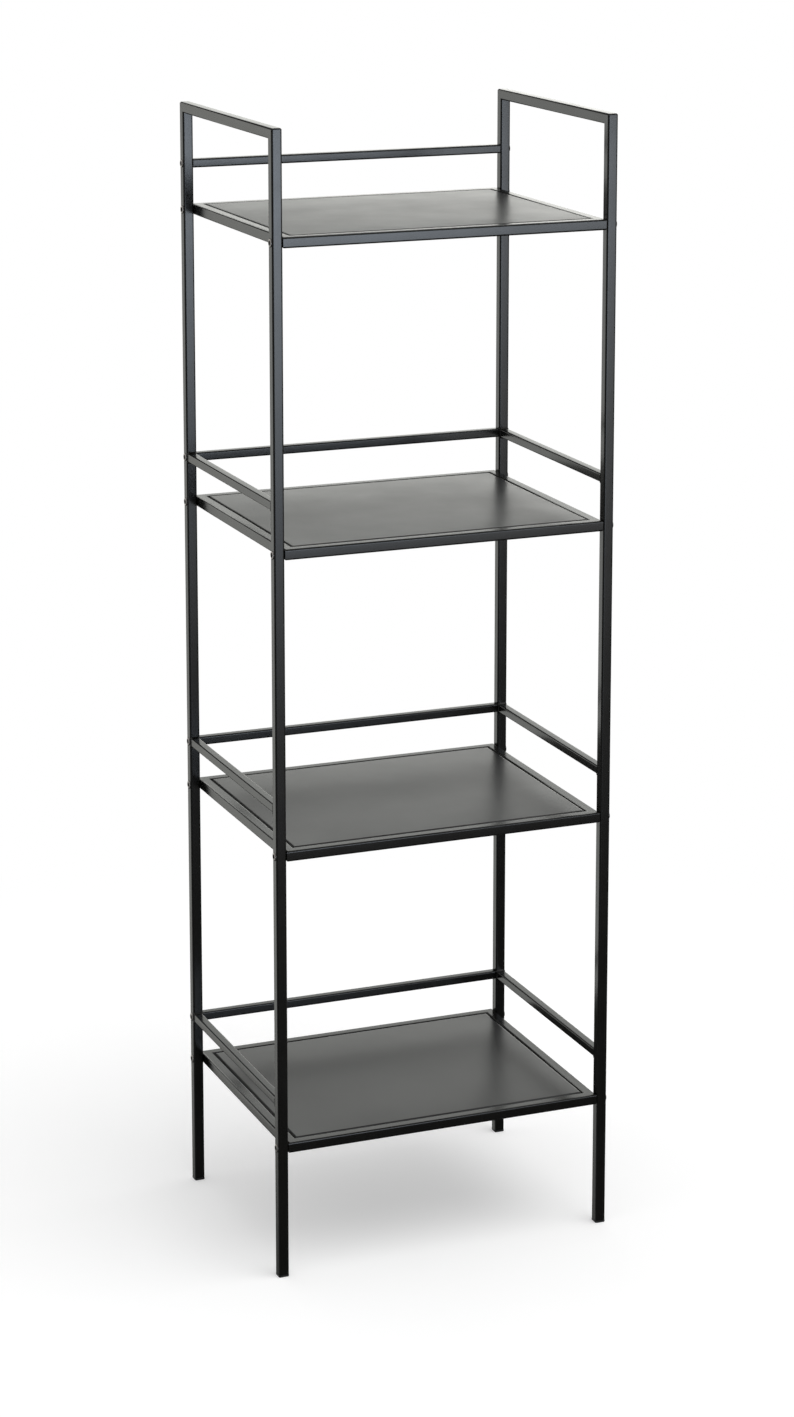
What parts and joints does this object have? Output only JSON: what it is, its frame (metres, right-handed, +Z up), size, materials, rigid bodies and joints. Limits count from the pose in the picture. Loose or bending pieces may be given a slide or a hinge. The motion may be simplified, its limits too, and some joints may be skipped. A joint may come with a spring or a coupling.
{
  "type": "metal shelving unit",
  "caption": "Narrow open shelving unit in black coated steel: ladder side frames in square tube, framed sheet shelves, low side and rear guard rails, socket screws and foot caps.",
  "frame": {"origin": "the middle of the unit's footprint, on the floor", "axes": "+Z up, +X to the right seen from the front, the front faces -Y"},
  "size_m": [0.4018, 0.3, 1.28],
  "materials": {
    "frame_coat": "satin black powder coat",
    "sheet_coat": "satin black powder coat",
    "screw_steel": "blackened steel",
    "zinc": "zinc plated",
    "cap_plastic": "moulded black polyethylene"
  },
  "bodies": {
    "root": {"bottom_left_guard_rail": "frame_coat", "bottom_rear_guard_rail": "frame_coat", "bottom_rear_rail_left_insert": "zinc", "bottom_rear_rail_left_screw": "screw_steel", "bottom_rear_rail_right_insert": "zinc", "bottom_rear_rail_right_screw": "screw_steel", "bottom_right_guard_rail": "frame_coat", "bottom_shelf_frame": "frame_coat", "bottom_shelf_left_front_screw": "screw_steel", "bottom_shelf_left_rear_screw": "screw_steel", "bottom_shelf_panel": "sheet_coat", "bottom_shelf_right_front_screw": "screw_steel", "bottom_shelf_right_rear_screw": "screw_steel", "left_front_foot_cap": "cap_plastic", "left_front_post": "frame_coat", "left_rear_foot_cap": "cap_plastic", "left_rear_post": "frame_coat", "left_top_rail": "frame_coat", "lower_left_guard_rail": "frame_coat", "lower_rear_guard_rail": "frame_coat", "lower_rear_rail_left_insert": "zinc", "lower_rear_rail_left_screw": "screw_steel", "lower_rear_rail_right_insert": "zinc", "lower_rear_rail_right_screw": "screw_steel", "lower_right_guard_rail": "frame_coat", "lower_shelf_frame": "frame_coat", "lower_shelf_left_front_screw": "screw_steel", "lower_shelf_left_rear_screw": "screw_steel", "lower_shelf_panel": "sheet_coat", "lower_shelf_right_front_screw": "screw_steel", "lower_shelf_right_rear_screw": "screw_steel", "right_front_foot_cap": "cap_plastic", "right_front_post": "frame_coat", "right_rear_foot_cap": "cap_plastic", "right_rear_post": "frame_coat", "right_top_rail": "frame_coat", "top_rear_guard_rail": "frame_coat", "top_rear_rail_left_insert": "zinc", "top_rear_rail_left_screw": "screw_steel", "top_rear_rail_right_insert": "zinc", "top_rear_rail_right_screw": "screw_steel", "top_shelf_frame": "frame_coat", "top_shelf_left_front_screw": "screw_steel", "top_shelf_left_rear_screw": "screw_steel", "top_shelf_panel": "sheet_coat", "top_shelf_right_front_screw": "screw_steel", "top_shelf_right_rear_screw": "screw_steel", "upper_left_guard_rail": "frame_coat", "upper_rear_guard_rail": "frame_coat", "upper_rear_rail_left_insert": "zinc", "upper_rear_rail_left_screw": "screw_steel", "upper_rear_rail_right_insert": "zinc", "upper_rear_rail_right_screw": "screw_steel", "upper_right_guard_rail": "frame_coat", "upper_shelf_frame": "frame_coat", "upper_shelf_left_front_screw": "screw_steel", "upper_shelf_left_rear_screw": "screw_steel", "upper_shelf_panel": "sheet_coat", "upper_shelf_right_front_screw": "screw_steel", "upper_shelf_right_rear_screw": "screw_steel"}
  },
  "joints": []
}
